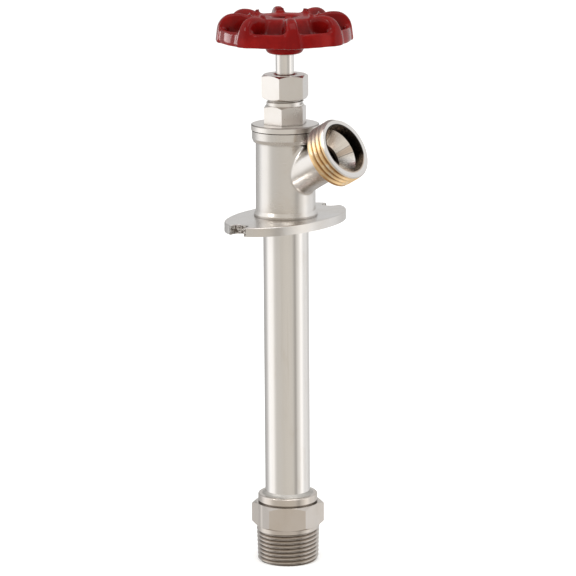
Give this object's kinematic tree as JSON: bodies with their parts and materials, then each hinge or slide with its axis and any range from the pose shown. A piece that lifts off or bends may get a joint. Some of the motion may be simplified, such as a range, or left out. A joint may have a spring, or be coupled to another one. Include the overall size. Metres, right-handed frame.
{
  "type": "hose bib",
  "caption": "Frost-free sillcock: oval wall flange, slanted male hose-thread spout, lobed handwheel on a rising stem, long tube and male pipe-thread inlet.",
  "frame": {"origin": "centre of the wall flange's back face, on the tube's axis", "axes": "+Z along the tube's axis out of the wall towards the handwheel, +X the side the spout leans to, +Y along the oval flange's long axis"},
  "size_m": [0.0662, 0.065, 0.2355],
  "materials": {
    "satin_nickel": "brass with satin nickel plate",
    "bright_nickel": "copper alloy with bright nickel plate",
    "bare_brass": "turned brass",
    "plain_steel": "zinc-plated steel",
    "solder": "tin solder, as flowed",
    "gasket_fibre": "pressed fibre sheet",
    "packing_fibre": "graphite packing",
    "guide_plastic": "moulded acetal",
    "seat_rubber": "moulded rubber",
    "red_enamel": "gloss enamel on a zinc casting"
  },
  "bodies": {
    "fixed": {"head_casting": "satin_nickel", "wall_flange": "satin_nickel", "bonnet": "satin_nickel", "packing_nut": "satin_nickel", "tube": "bright_nickel", "inlet_fitting": "satin_nickel", "inlet_solder_ring": "solder", "head_solder_ring": "solder", "bonnet_gasket": "gasket_fibre", "packing_washer": "bare_brass", "stem_packing": "packing_fibre", "packing_follower": "bare_brass"},
    "valve_disc": {"washer_holder": "bare_brass", "holder_clip": "plain_steel", "seat_washer": "seat_rubber", "washer_screw": "bare_brass"},
    "turning_stem": {"operating_stem": "bright_nickel", "extension_rod": "bare_brass", "rod_pin": "plain_steel", "rod_guide": "guide_plastic", "handwheel": "red_enamel", "handle_washer": "plain_steel", "handle_screw": "plain_steel"}
  },
  "joints": [
    {"name": "stem_rise", "type": "slide", "parent": "fixed", "child": "valve_disc", "axis": [0, 0, 1], "range_m": [0, 0.008]},
    {"name": "wheel_turn", "type": "hinge", "parent": "valve_disc", "child": "turning_stem", "pos_m": [0, 0, 0.0767], "axis": [0, 0, 1], "range_deg": [0, 1440]}
  ],
  "couplings": [
    {"joint": "stem_rise", "follows": "wheel_turn", "m_per_rad": 0.00031831}
  ]
}
